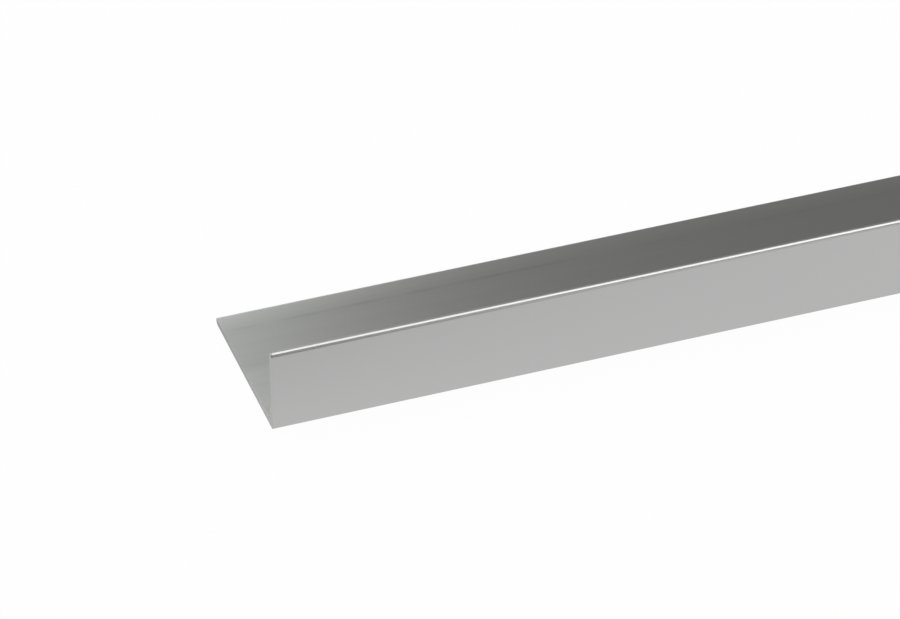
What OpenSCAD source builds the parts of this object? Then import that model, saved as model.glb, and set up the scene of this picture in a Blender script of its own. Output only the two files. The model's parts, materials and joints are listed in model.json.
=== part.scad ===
// Unequal-leg aluminium angle, extruded in one piece and sawn square at both ends.
// The wide leg lies flat and the narrow leg stands along its front edge.
// The bar runs along X, +Y points from the narrow leg to the free edge of the wide leg, and +Z is up.
// Sizes are in millimetres.

/* [Section] */
// Outside width of the leg that lies flat
wide_leg = 40; // [20:1:100]
// Outside height of the leg that stands
narrow_leg = 20; // [12:1:60]
// Thickness of both legs
wall = 1.5; // [1:0.1:4]

/* [Corners] */
// Radius of the outside corner at the free edge of each leg
outer_edge_radius = 1; // [0.1:0.05:3]
// Radius of the inside corner at the free edge of each leg
inner_edge_radius = 0.2; // [0.1:0.05:1]
// Radius of the outside corner where the legs meet
heel_radius = 0.25; // [0.1:0.05:2]
// Radius of the fillet in the inside corner
root_radius = 0.5; // [0.1:0.05:4]

/* [Length] */
// Length of the bar between its sawn ends
bar_length = 1000; // [100:10:6000]

/* [Hidden] */
$fn = 64;

// Bare metal, as extruded
aluminium = [0.69, 0.69, 0.68];
// Shares of the wall that the two rounds of a free edge may take, so that a flat land stays between them
largest_outer_share = 0.7;
largest_inner_share = 0.25;
outer_round = min(outer_edge_radius, largest_outer_share * wall);
inner_round = min(inner_edge_radius, largest_inner_share * wall);
// How far a corner piece runs past its corner
corner_overrun = wall / 4;

// What lies between a square corner at the origin and the round of radius r inside it.
// Taken away it rounds an outside corner, and added it fills an inside one.
module corner_piece(r) {
    difference() {
        translate([-corner_overrun, -corner_overrun])
            square(r + corner_overrun);
        translate([r, r])
            circle(r);
    }
}

// One leg of the section: a strip from the heel at the origin out along X, its outside face on the X axis.
// Its free edge is rounded, more on the outside than on the inside.
module leg(reach) {
    difference() {
        square([reach, wall]);
        translate([reach, 0])
            rotate(90)
                corner_piece(outer_round);
        translate([reach, wall])
            rotate(180)
                corner_piece(inner_round);
    }
}

// The whole section, with its heel at the origin
module angle_section() {
    difference() {
        union() {
            leg(wide_leg);
            // The same strip, turned over the diagonal so that it stands
            mirror([1, -1])
                leg(narrow_leg);
            translate([wall, wall])
                corner_piece(root_radius);
        }
        corner_piece(heel_radius);
    }
}

// The bar: the section drawn out along X, centred on its length and on the width of the wide leg
module angle_profile() {
    color(aluminium)
        rotate([90, 0, 90])
            linear_extrude(height = bar_length, center = true)
                translate([-wide_leg / 2, 0])
                    angle_section();
}

angle_profile();
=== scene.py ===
# %% [markdown]
# # An aluminium angle, from its section to the studio
# The object is one straight bar of bare aluminium angle. It was pressed through a steel die, so the same
# L-shaped section runs from one sawn end to the other. The frame below holds the bar at its real size, in
# metres, with the bar along X, the upright leg at the front and +Z up. Everything else is built around it.

# %% Load the frame
import json
import random
from math import cos, pi, radians, sin

import bmesh
import bpy
from mathutils import Matrix, Quaternion, Vector


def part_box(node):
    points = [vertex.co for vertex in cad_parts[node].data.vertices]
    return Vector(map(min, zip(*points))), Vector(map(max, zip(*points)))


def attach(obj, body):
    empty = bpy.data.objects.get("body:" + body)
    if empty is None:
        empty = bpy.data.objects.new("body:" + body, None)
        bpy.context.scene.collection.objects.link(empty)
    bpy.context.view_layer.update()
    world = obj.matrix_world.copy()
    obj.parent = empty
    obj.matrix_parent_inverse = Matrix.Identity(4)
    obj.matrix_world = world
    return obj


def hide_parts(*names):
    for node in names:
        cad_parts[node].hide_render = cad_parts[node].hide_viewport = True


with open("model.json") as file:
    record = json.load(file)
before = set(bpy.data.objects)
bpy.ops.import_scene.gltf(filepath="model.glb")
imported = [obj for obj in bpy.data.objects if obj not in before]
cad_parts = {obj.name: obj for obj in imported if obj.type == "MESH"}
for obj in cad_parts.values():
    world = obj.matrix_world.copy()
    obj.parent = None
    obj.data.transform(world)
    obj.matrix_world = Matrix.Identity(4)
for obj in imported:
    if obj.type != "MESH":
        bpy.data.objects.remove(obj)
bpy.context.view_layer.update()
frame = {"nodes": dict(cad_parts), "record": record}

print("frame nodes:", sorted(frame["nodes"]))

# %% [markdown]
# ## The sizes that drive the model
# Four sizes say what an angle is: the two leg widths, the wall and the length. All four are read from the
# frame, the wall as the distance between the two faces of the wide leg. The corner radii are too small to
# read from a mesh, so they are written here as the real sizes in the drawing of the section.

# %% Read the sizes
MM = 0.001
MICRON = 0.000001
low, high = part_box("angle_profile")
faces_at = {mount["name"]: Vector(mount["pos_m"]) for mount in frame["record"]["mounts"]}
wall = faces_at["wide_leg_inner_face"].z - faces_at["wide_leg_outer_face"].z
near_end, far_end = low.x, high.x
outer_edge_radius = 1 * MM
inner_edge_radius = 0.2 * MM
heel_radius = 0.25 * MM
root_radius = 0.5 * MM
print("bar", [round(v / MM, 2) for v in high - low], "mm, wall", round(wall / MM, 2), "mm")

# %% [markdown]
# ## The section, drawn out into a bar
# The metal itself was made by extrusion, so the mesh is too: six corners give the sharp L, one face fills
# it, and one extrude carries the face to the far end. A curve with a bevel shape could do the same, but a
# mesh lets each long corner get its own round afterwards.

# %% Extrude the section
heel = (low.y, low.z)
root = (low.y + wall, low.z + wall)
outer_edges = [(high.y, low.z), (low.y, high.z)]
inner_edges = [(high.y, low.z + wall), (low.y + wall, high.z)]
section = [heel, outer_edges[0], inner_edges[0], root, inner_edges[1], outer_edges[1]]

bar = bmesh.new()
near_face = bar.faces.new([bar.verts.new((near_end, y, z)) for y, z in section])
drawn = bmesh.ops.extrude_face_region(bar, geom=[near_face])
moved = [item for item in drawn["geom"] if isinstance(item, bmesh.types.BMVert)]
bmesh.ops.translate(bar, verts=moved, vec=(far_end - near_end, 0, 0))
bmesh.ops.recalc_face_normals(bar, faces=bar.faces)
print("sharp bar:", len(bar.faces), "faces")

# %% [markdown]
# ## Rounds from the die
# A die is cut by a wire, so it leaves a round on every long corner. The free edges have the widest one, on
# the outside, where hands and boards meet them. Inside they are nearly sharp, and so is the heel. The root
# has a fillet that keeps it from cracking. The bevel operator makes them all, and in the root it adds metal.

# %% Round the long corners
ROUND_STEPS = 8


def long_edges(mesh, corners, reach=1e-7):
    """The edges along the bar that pass through these (y, z) corners."""
    found = []
    for edge in mesh.edges:
        one, two = (vert.co for vert in edge.verts)
        runs_along = abs(one.x - two.x) > reach
        if runs_along and any(abs(one.y - y) < reach and abs(one.z - z) < reach for y, z in corners):
            found.append(edge)
    return found


for corners, radius in (
    (outer_edges, outer_edge_radius),
    (inner_edges, inner_edge_radius),
    ([heel], heel_radius),
    ([root], root_radius),
):
    bmesh.ops.bevel(
        bar,
        geom=long_edges(bar, corners),
        offset=radius,
        offset_type="OFFSET",
        segments=ROUND_STEPS,
        profile=0.5,
        affect="EDGES",
        material=-1,
    )
print("rounded bar:", len(bar.faces), "faces")

# %% [markdown]
# ## Die lines
# Tiny flaws on the die's lip score the metal as it slides past, so every broad face carries faint lines
# that never leave their place in the section. Most are a few thousandths of a millimetre high or deep, and
# the strongest about fifteen, but on bright metal the eye reads them at once. A plane cuts each face
# lengthwise at uneven distances, and each cut is then pushed in or out by its own depth. The random numbers
# have a seed, so every run is the same.

# %% Score the broad faces
LINE_GAP = (0.5 * MM, 2.4 * MM)
LINE_DEPTH = 6 * MICRON
die_flaws = random.Random(11)


def broad_faces(mesh, normal, point, reach=1e-6):
    """The faces in the plane through this point."""
    mesh.normal_update()
    return [
        face
        for face in mesh.faces
        if face.normal.dot(normal) > 0.9999 and abs((face.calc_center_median() - point).dot(normal)) < reach
    ]


def cut_lengthwise(mesh, faces, point, across):
    """Cuts these faces along the bar and returns the new corner points on the cut."""
    # Each edge and each point once, in a fixed order
    around = dict.fromkeys(item for face in faces for item in (*face.edges, *face.verts))
    cut = bmesh.ops.bisect_plane(
        mesh, geom=[*faces, *around], plane_co=point, plane_no=across, dist=1e-8
    )
    return [item for item in cut["geom_cut"] if isinstance(item, bmesh.types.BMVert)]


def score(mesh, mount_name, normal, across):
    """Cuts die lines into the broad face that a mount lies on, then pushes each line to its own height."""
    point = faces_at[mount_name]
    extent = [vert.co.dot(across) for face in broad_faces(mesh, normal, point) for vert in face.verts]
    start, end = min(extent), max(extent)
    place, lines = start, []
    while True:
        place += die_flaws.uniform(*LINE_GAP)
        if place > end - LINE_GAP[0]:
            break
        on_line = point + across * (place - point.dot(across))
        lines.append(cut_lengthwise(mesh, broad_faces(mesh, normal, point), on_line, across))
    for corner_points in lines:
        bmesh.ops.translate(mesh, verts=corner_points, vec=normal * die_flaws.gauss(0, LINE_DEPTH))
    return len(lines)


X, Y, Z = Vector((1, 0, 0)), Vector((0, 1, 0)), Vector((0, 0, 1))
for name, normal, across in (
    ("wide_leg_inner_face", Z, Y),
    ("wide_leg_outer_face", -Z, Y),
    ("narrow_leg_outer_face", -Y, Z),
    ("narrow_leg_inner_face", Y, Z),
):
    print(name, "has", score(bar, name, normal, across), "die lines")

# %% [markdown]
# ## Sawn ends
# A cold saw cuts the bar square and leaves a crisp arris that is wiped with a file. A narrow bevel round
# both cuts stands for that, and it gives the render a true edge to catch light on.

# %% Break the sawn edges
END_BREAK = 0.04 * MM


def on_cut(edge, reach=1e-7):
    """True for an edge that lies in one of the two sawn planes."""
    return any(all(abs(vert.co.x - x) < reach for vert in edge.verts) for x in (near_end, far_end))


bmesh.ops.bevel(
    bar,
    geom=[edge for edge in bar.edges if on_cut(edge)],
    offset=END_BREAK,
    offset_type="OFFSET",
    segments=2,
    profile=0.5,
    affect="EDGES",
    material=-1,
)
bmesh.ops.recalc_face_normals(bar, faces=bar.faces)
print("bar with sawn ends:", len(bar.faces), "faces")

# %% [markdown]
# ## A grain direction for the finish
# Drawn metal is smoother along its lines than across them, so a highlight spreads across the bar. The
# shader needs to know which way that is. A UV map tells it: U runs across the lines on the sides, and
# along the saw's stroke on the ends, and the tangent of the map then follows the grain everywhere.

# %% Map the grain and make the object
MILL, SAWN = 0, 1
grain = bar.loops.layers.uv.new("grain")
for face in bar.faces:
    cut = abs(face.normal.x) > 0.9
    face.material_index = SAWN if cut else MILL
    face.smooth = True
    across = Y if cut else X.cross(face.normal)
    along = Z if cut else X
    for loop in face.loops:
        loop[grain].uv = (loop.vert.co.dot(across), loop.vert.co.dot(along))

mesh = bpy.data.meshes.new("angle_bar")
bar.to_mesh(mesh)
bar.free()
angle_bar = bpy.data.objects.new("angle_bar", mesh)
bpy.context.scene.collection.objects.link(angle_bar)
weighted = angle_bar.modifiers.new("flat_faces_stay_flat", "WEIGHTED_NORMAL")
weighted.mode = "FACE_AREA"
weighted.weight = 50
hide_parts("angle_profile")
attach(angle_bar, "root")
print("angle_bar:", len(mesh.polygons), "faces")

# %% [markdown]
# ## Streaks, an effect for both finishes
# The mill finish and the saw cut are both made of fine parallel lines, only of another pitch and
# direction. One node group makes them: noise on Object coordinates that is squeezed across the lines and
# stretched along them. Each material places it with its own number of lines per metre.

# %% Build the streak group


def link(tree, source, target):
    """Joins an output socket to an input socket."""
    tree.links.new(source, target)


def streak_group():
    """Noise drawn out into lines, from 0 to 1."""
    group = bpy.data.node_groups.new("drawn_lines", "ShaderNodeTree")
    sockets = group.interface
    sockets.new_socket("Lines per metre", in_out="INPUT", socket_type="NodeSocketVector")
    sockets.new_socket("Shift", in_out="INPUT", socket_type="NodeSocketFloat")
    sockets.new_socket("Detail", in_out="INPUT", socket_type="NodeSocketFloat")
    sockets.new_socket("Lines", in_out="OUTPUT", socket_type="NodeSocketFloat")
    inside = group.nodes.new("NodeGroupInput")
    outside = group.nodes.new("NodeGroupOutput")
    place = group.nodes.new("ShaderNodeTexCoord")
    squeeze = group.nodes.new("ShaderNodeVectorMath")
    squeeze.operation = "MULTIPLY_ADD"
    noise = group.nodes.new("ShaderNodeTexNoise")
    noise.inputs["Scale"].default_value = 1
    noise.inputs["Roughness"].default_value = 0.55
    link(group, place.outputs["Object"], squeeze.inputs[0])
    link(group, inside.outputs["Lines per metre"], squeeze.inputs[1])
    link(group, inside.outputs["Shift"], squeeze.inputs[2])
    link(group, squeeze.outputs["Vector"], noise.inputs["Vector"])
    link(group, inside.outputs["Detail"], noise.inputs["Detail"])
    link(group, noise.outputs["Fac"], outside.inputs["Lines"])
    return group


drawn_lines = streak_group()
print("group", drawn_lines.name, "made")

# %% [markdown]
# ## Mill finish
# Bare extruded aluminium is a satin grey: a thin oxide dulls the metal, and the drawing lines blur what it
# mirrors a little more across the bar than along it. All of it is one metal shader. Anisotropy gives the
# blur its direction, broad streaks shift the tone and the roughness, and fine ones are a very small bump.

# %% Make the mill finish
ALUMINIUM = (0.47, 0.471, 0.468)
BROAD_STREAKS = (2, 420, 0)
FINE_LINES = (25, 3600, 3600)
FINE_LINE_DEPTH = 1.5 * MICRON
MILL_ROUGHNESS = (0.31, 0.3)
MILL_ANISOTROPY = 0.1


def lines_node(tree, per_metre, shift, detail):
    """Places the streak group in a material."""
    node = tree.nodes.new("ShaderNodeGroup")
    node.node_tree = drawn_lines
    node.inputs["Lines per metre"].default_value = per_metre
    node.inputs["Shift"].default_value = shift
    node.inputs["Detail"].default_value = detail
    return node


def spread(tree, source, low_out, high_out, low_in=0.3, high_in=0.7):
    """Maps a range of a source, by default the middle of a mask, to a range of values."""
    node = tree.nodes.new("ShaderNodeMapRange")
    node.inputs["From Min"].default_value = low_in
    node.inputs["From Max"].default_value = high_in
    node.inputs["To Min"].default_value = low_out
    node.inputs["To Max"].default_value = high_out
    link(tree, source, node.inputs["Value"])
    return node.outputs["Result"]


def relief(tree, source, depth):
    """A bump of this depth in metres."""
    node = tree.nodes.new("ShaderNodeBump")
    node.inputs["Strength"].default_value = 1
    node.inputs["Distance"].default_value = depth
    link(tree, source, node.inputs["Height"])
    return node.outputs["Normal"]


def metal(name):
    """A metal whose blur follows the grain map."""
    material = bpy.data.materials.new(name)
    material.use_nodes = True
    tree = material.node_tree
    shader = tree.nodes["Principled BSDF"]
    shader.inputs["Metallic"].default_value = 1
    tangent = tree.nodes.new("ShaderNodeTangent")
    tangent.direction_type = "UV_MAP"
    tangent.uv_map = "grain"
    link(tree, tangent.outputs["Tangent"], shader.inputs["Tangent"])
    return material, tree, shader


mill, tree, shader = metal("mill_aluminium")
shader.inputs["Anisotropic"].default_value = MILL_ANISOTROPY
broad = lines_node(tree, BROAD_STREAKS, shift=3.1, detail=2).outputs["Lines"]
fine = lines_node(tree, FINE_LINES, shift=8.7, detail=3).outputs["Lines"]
link(tree, spread(tree, broad, *MILL_ROUGHNESS), shader.inputs["Roughness"])
link(tree, relief(tree, fine, FINE_LINE_DEPTH), shader.inputs["Normal"])
mesh.materials.append(mill)
print("material", mill.name)

# %% [markdown]
# ## Strips and a line on the flat leg
# The tone isn't the same all over. Towards the free edge of the flat leg it grows lighter in a strip. Near
# the root the leg is painted lighter too: painted light that lifts the shade the upright leg casts there. A
# dark line borders the first strip. It comes and goes and then fades, because metal that sticks to the die
# lets go again. A painted picture could hold all this, but ramps across the leg stay sharp at any size. They
# give factors, which scale the metal's colour in the next step.

# %% Shade the strips and the line
# Lighter towards the free edge, and lighter near the root as painted light against the upright leg's shade.
EDGE_STRIP_AND_ROOT_LIGHT = [(-18.4, 1), (-17, 1.17), (-13, 1.17), (-6, 1.13), (3, 1), (14.2, 1), (15.4, 1.035), (20, 1.14)]
STRIP_RANGE = (0.8, 1.2)
DARK_LINE = [(13.4, 0), (14.4, 1), (15.4, 0)]
LINE_PATCHES = (80, 0, 0)
LINE_STRONG, LINE_FAINT = 65 * MM, 100 * MM
FAINT_SHARE = 0.25
LINE_TONE = 0.86


def axes(tree):
    """The place on the bar along X, Y and Z."""
    split = tree.nodes.new("ShaderNodeSeparateXYZ")
    link(tree, tree.nodes.new("ShaderNodeTexCoord").outputs["Object"], split.inputs["Vector"])
    return [split.outputs[axis] for axis in "XYZ"]


def product(tree, first, *others):
    """All these values multiplied together."""
    for other in others:
        node = tree.nodes.new("ShaderNodeMath")
        node.operation = "MULTIPLY"
        link(tree, first, node.inputs[0])
        link(tree, other, node.inputs[1])
        first = node.outputs["Value"]
    return first


def ramp(tree, source, stops, between):
    """Values at stops in millimetres across the flat leg, eased from one to the next."""
    node = tree.nodes.new("ShaderNodeValToRGB")
    node.color_ramp.interpolation = "EASE"
    elements = node.color_ramp.elements
    while len(elements) < len(stops):
        elements.new(1)
    for element, (at, value) in zip(elements, stops):
        grey = (value - between[0]) / (between[1] - between[0])
        element.position = (at * MM - low.y) / (high.y - low.y)
        element.color = (grey, grey, grey, 1)
    link(tree, source, node.inputs["Fac"])
    return spread(tree, node.outputs["Color"], *between, 0, 1)


along, across, upward = axes(tree)
across_leg = spread(tree, across, 0, 1, low.y, high.y)
edge_strip_and_root_light = ramp(tree, across_leg, EDGE_STRIP_AND_ROOT_LIGHT, STRIP_RANGE)
on_line = ramp(tree, across_leg, DARK_LINE, (0, 1))
patches = lines_node(tree, LINE_PATCHES, shift=1.3, detail=1).outputs["Lines"]
sticking = spread(tree, patches, 0, 1, 0.35, 0.65)
fading = spread(tree, along, 1, FAINT_SHARE, near_end + LINE_STRONG, near_end + LINE_FAINT)
dark_line = spread(tree, product(tree, on_line, sticking, fading), 1, LINE_TONE, 0, 1)
print("strips and line on", mill.name)

# %% [markdown]
# ## Rubbed edges, a painted highlight and painted shade at the near end
# Hands and boards touch the free edges first and rub them bright: the round on top of the upright leg and
# the rim of the flat one. On the upright's round the lightening is partly that wear and partly a painted
# highlight, which makes the overhead lamp's line on it brighter. The saw left the last half millimetre of
# the round dull, so the painted highlight starts only there. Towards the near end the bar is painted darker,
# most towards its top: painted shade. Plain ranges along X, Y and Z give all of this, because the bar is
# straight. One product of all the factors and the broad streaks then scales the colour.

# %% Shade the edges and join the tones
CREST_START, CREST_FULL = 0.5 * MM, 0.2 * MM
ROUND_FULL = 0.65 * MM
FLAT_TOP_SHARE = 0.4
BURR_FULL, BURR_END = 0.3 * MM, 0.55 * MM
CREST_WEAR_AND_HIGHLIGHT_TONE = 1.6
RIM_START, RIM_FULL = 0.6 * MM, 0.1 * MM
RIM_TONE = 1.35
NEAR_END_SHADE_REACH = 150 * MM
NEAR_END_SHADE_TONE = 0.86
STREAK_TONES = (0.97, 1.03)

on_crest = spread(tree, upward, 0, 1, high.z - CREST_START, high.z - CREST_FULL)
on_round = spread(tree, across, 1, FLAT_TOP_SHARE, low.y + ROUND_FULL, low.y + outer_edge_radius)
off_burr = spread(tree, along, 0, 1, near_end + BURR_FULL, near_end + BURR_END)
# Partly rubbed wear, partly a painted highlight that brightens the overhead lamp's line on the round.
crest_wear_and_highlight = spread(tree, product(tree, on_crest, on_round, off_burr), 1, CREST_WEAR_AND_HIGHLIGHT_TONE, 0, 1)
rim = spread(tree, across, 1, RIM_TONE, high.y - RIM_START, high.y - RIM_FULL)
# Painted shade: darker towards the near end, most towards the top.
near = spread(tree, along, 1, 0, near_end, near_end + NEAR_END_SHADE_REACH)
high_up = spread(tree, upward, 0.1, 0.9, low.z, high.z)
near_end_painted_shade = spread(tree, product(tree, near, high_up), 1, NEAR_END_SHADE_TONE, 0, 1)
streaks = spread(tree, broad, *STREAK_TONES)
# This product holds the painted highlight, the painted shade and the painted light near the root, with the
# real tones.
lightness = product(tree, edge_strip_and_root_light, dark_line, streaks, crest_wear_and_highlight, rim, near_end_painted_shade)
shaded = tree.nodes.new("ShaderNodeVectorMath")
shaded.operation = "SCALE"
shaded.inputs[0].default_value = ALUMINIUM
link(tree, lightness, shaded.inputs["Scale"])
link(tree, shaded.outputs["Vector"], shader.inputs["Base Color"])
print("tone of", mill.name, "shaded")

# %% [markdown]
# ## Saw cut
# The saw leaves a duller face with marks in the direction of its stroke. It comes in at the upright leg and
# cuts that cleanly, and chips dull the rest. It is the same metal with a coarser set of lines and a tone
# that falls off along the cut.

# %% Make the saw cut
SAWN_BRIGHT = (0.43, 0.43, 0.425, 1)
SAWN_DULL = (0.27, 0.27, 0.266, 1)
CLEAN_CUT_END = 5 * MM
DULL_CUT_SHARE = 0.3
SAW_MARKS = (100, 2600, 60)
SAW_MARK_DEPTH = 8 * MICRON
SAW_MARK_TONES = (0.75, 1)
SAWN_ROUGHNESS = (0.48, 0.4)
SAWN_ANISOTROPY = 0.5


def tone(tree, source, dull, bright):
    """Mixes two colours by a mask."""
    node = tree.nodes.new("ShaderNodeMix")
    node.data_type = "RGBA"
    node.inputs["A"].default_value = dull
    node.inputs["B"].default_value = bright
    link(tree, source, node.inputs["Factor"])
    return node.outputs["Result"]


sawn, tree, shader = metal("sawn_aluminium")
shader.inputs["Anisotropic"].default_value = SAWN_ANISOTROPY
marks = lines_node(tree, SAW_MARKS, shift=1.7, detail=3).outputs["Lines"]
clean = spread(tree, axes(tree)[1], 1, DULL_CUT_SHARE, low.y, CLEAN_CUT_END)
mixed = product(tree, clean, spread(tree, marks, *SAW_MARK_TONES))
link(tree, tone(tree, mixed, SAWN_DULL, SAWN_BRIGHT), shader.inputs["Base Color"])
link(tree, spread(tree, marks, *SAWN_ROUGHNESS), shader.inputs["Roughness"])
link(tree, relief(tree, marks, SAW_MARK_DEPTH), shader.inputs["Normal"])
mesh.materials.append(sawn)
print("material", sawn.name)

# %% [markdown]
# ## Camera
# The picture was taken with a long lens, from the front left and well above the bar. The camera's place is
# found from one point: the bottom corner of the near end, which lies at a known pixel of the picture and a
# known distance from the lens. The view's three angles then fix the rest, and the picture's middle needs no
# shift.

# %% Set the camera
PICTURE = (900, 619)
FOCAL_PIXELS = 4740.2
SENSOR = 36
VIEW_DOWN, VIEW_RIGHT, VIEW_ROLL = radians(37.202), radians(20.187), radians(0.599)
HEEL_PIXEL = (272.04, 429.02)
HEEL_DEPTH = 1.0206

forward = Vector((sin(VIEW_RIGHT) * cos(VIEW_DOWN), cos(VIEW_RIGHT) * cos(VIEW_DOWN), -sin(VIEW_DOWN)))
level_right = Vector((cos(VIEW_RIGHT), -sin(VIEW_RIGHT), 0))
level_up = level_right.cross(forward)
right = level_right * cos(VIEW_ROLL) + level_up * sin(VIEW_ROLL)
up = level_up * cos(VIEW_ROLL) - level_right * sin(VIEW_ROLL)
middle = [(size - 1) / 2 for size in PICTURE]
offset_right = (HEEL_PIXEL[0] - middle[0]) / FOCAL_PIXELS * HEEL_DEPTH
offset_up = (middle[1] - HEEL_PIXEL[1]) / FOCAL_PIXELS * HEEL_DEPTH
near_heel = Vector((near_end, low.y, low.z))
eye = near_heel - right * offset_right - up * offset_up - forward * HEEL_DEPTH

camera_data = bpy.data.cameras.new("camera")
camera_data.sensor_width = SENSOR
camera_data.lens = FOCAL_PIXELS * SENSOR / PICTURE[0]
camera = bpy.data.objects.new("camera", camera_data)
turn = Matrix((right, up, -forward)).transposed().to_4x4()
camera.matrix_world = Matrix.Translation(eye) @ turn
bpy.context.scene.collection.objects.link(camera)
bpy.context.scene.camera = camera
print("lens", round(camera_data.lens, 1), "mm, eye at", [round(v, 3) for v in eye])

# %% [markdown]
# ## Floor and backdrop
# Metal is only as good as what it mirrors. The floor is a wide white sweep that curves up into a low wall
# all round, so every view ends on white. Its profile is one short line that a full spin turns round Z, and
# a bevel of the ring where floor and wall meet makes the cove.

# %% Spin the white sweep
SWEEP_RADIUS, SWEEP_COVE, SWEEP_HEIGHT = 12, 0.5, 1.4
FLOOR_GAP = 0.02 * MM
MERGE_REACH = 1e-5
SWEEP_STEPS, COVE_STEPS = 64, 8

sweep = bmesh.new()
middle_of_floor = Vector((0, 0, -FLOOR_GAP))
foot_of_wall = Vector((SWEEP_RADIUS, 0, -FLOOR_GAP))
top_of_wall = Vector((SWEEP_RADIUS, 0, SWEEP_HEIGHT))
profile = [sweep.verts.new(point) for point in (middle_of_floor, foot_of_wall, top_of_wall)]
line = [sweep.edges.new(pair) for pair in zip(profile, profile[1:])]
bmesh.ops.spin(
    sweep,
    geom=[*profile, *line],
    cent=(0, 0, 0),
    axis=Z,
    angle=2 * pi,
    steps=SWEEP_STEPS,
    use_merge=True,
)
bmesh.ops.remove_doubles(sweep, verts=sweep.verts, dist=MERGE_REACH)
ring = [
    edge
    for edge in sweep.edges
    if all(vert.co.z < 0 and vert.co.xy.length > SWEEP_RADIUS - MERGE_REACH for vert in edge.verts)
]
bmesh.ops.bevel(
    sweep,
    geom=ring,
    offset=SWEEP_COVE,
    offset_type="OFFSET",
    segments=COVE_STEPS,
    profile=0.5,
    affect="EDGES",
    material=-1,
)
sweep_mesh = bpy.data.meshes.new("white_sweep")
sweep.to_mesh(sweep_mesh)
sweep.free()
white_sweep = bpy.data.objects.new("white_sweep", sweep_mesh)
bpy.context.scene.collection.objects.link(white_sweep)
print("sweep:", len(sweep_mesh.polygons), "faces")

# %% [markdown]
# The sweep has to look white and still hold the bar's shadow. Its shader mixes a lit matt white with an
# even glow of strength 1, and the glow counts only where the camera, a mirror or a window sees it, so it
# adds no light to the bar.

# %% Paint the sweep
GLOW_SHARE = 0.97
MATT_WHITE = (0.9, 0.9, 0.9, 1)

paint = bpy.data.materials.new("white_paint")
paint.use_nodes = True
tree = paint.node_tree
tree.nodes.remove(tree.nodes["Principled BSDF"])
matt = tree.nodes.new("ShaderNodeBsdfDiffuse")
matt.inputs["Color"].default_value = MATT_WHITE
glow = tree.nodes.new("ShaderNodeEmission")
rays = tree.nodes.new("ShaderNodeLightPath")
mirrored = tree.nodes.new("ShaderNodeMath")
mirrored.operation = "MAXIMUM"
seen = tree.nodes.new("ShaderNodeMath")
seen.operation = "MAXIMUM"
share = tree.nodes.new("ShaderNodeMath")
share.operation = "MULTIPLY"
share.inputs[1].default_value = GLOW_SHARE
mix = tree.nodes.new("ShaderNodeMixShader")
link(tree, rays.outputs["Is Glossy Ray"], mirrored.inputs[0])
link(tree, rays.outputs["Is Transmission Ray"], mirrored.inputs[1])
link(tree, rays.outputs["Is Camera Ray"], seen.inputs[0])
link(tree, mirrored.outputs["Value"], seen.inputs[1])
link(tree, seen.outputs["Value"], share.inputs[0])
link(tree, share.outputs["Value"], mix.inputs["Fac"])
link(tree, matt.outputs["BSDF"], mix.inputs[1])
link(tree, glow.outputs["Emission"], mix.inputs[2])
link(tree, mix.outputs["Shader"], tree.nodes["Material Output"].inputs["Surface"])
sweep_mesh.materials.append(paint)
print("material", paint.name)

# %% [markdown]
# ## Studio light
# On bare metal every lamp shows as a reflection, so each one is placed for what mirrors it. A long softbox
# overhead draws the bright line on the upright leg's rounded top. A leaning panel behind and to the left is
# mirrored by the near end of the flat leg, and past its edge the flat leg mirrors the dim room, so it
# darkens along the bar. A low panel and a narrow strip in front fill the dark line under the bright one,
# and a panel far to the right lights the bar for someone who walks round it. The room is a plain grey. Each
# panel is given by how bright it looks in a mirror, and its power follows from that and its area.

# %% Light the studio
PANEL_TINT = (0.977, 1, 0.985)
ROOM_GREY = (0.109, 0.11, 0.1, 1)


def softbox(name, size, place, facing, radiance, lean=0):
    """An even panel of light at a place, facing one way and leaning in its own plane."""
    data = bpy.data.lights.new(name, "AREA")
    data.shape = "RECTANGLE"
    data.size, data.size_y = size
    data.energy = radiance * pi * size[0] * size[1]
    lamp = bpy.data.objects.new(name, data)
    lamp.location = place
    turned = facing.to_track_quat("-Z", "Y")
    lamp.rotation_euler = (turned @ Quaternion(Z, lean)).to_euler()
    lamp.visible_camera = False
    bpy.context.scene.collection.objects.link(lamp)
    return lamp


softbox("overhead_softbox", (3.0, 1.54), (0, 0.27, 1.5), -Z, 1.36)
back_left = softbox("back_left_panel", (1.2, 1.4), (-0.934, 0.85, 0.83), -Y, 1.58, radians(-15))
back_left.data.color = PANEL_TINT
softbox("front_panel", (3.0, 1.1), (0, -0.85, 0.55), Y, 0.2)
softbox("front_strip", (0.24, 0.44), (-0.222, -0.42, 0.29), Y, 0.58, radians(10))
softbox("right_panel", (6.0, 1.6), (2.2, 0, 0.8), -X, 0.9)

room = bpy.data.worlds.new("room")
room.use_nodes = True
room.node_tree.nodes["Background"].inputs["Color"].default_value = ROOM_GREY
bpy.context.scene.world = room
bpy.context.scene.view_settings.view_transform = "Standard"
print("lamps:", [item.name for item in bpy.data.lights])
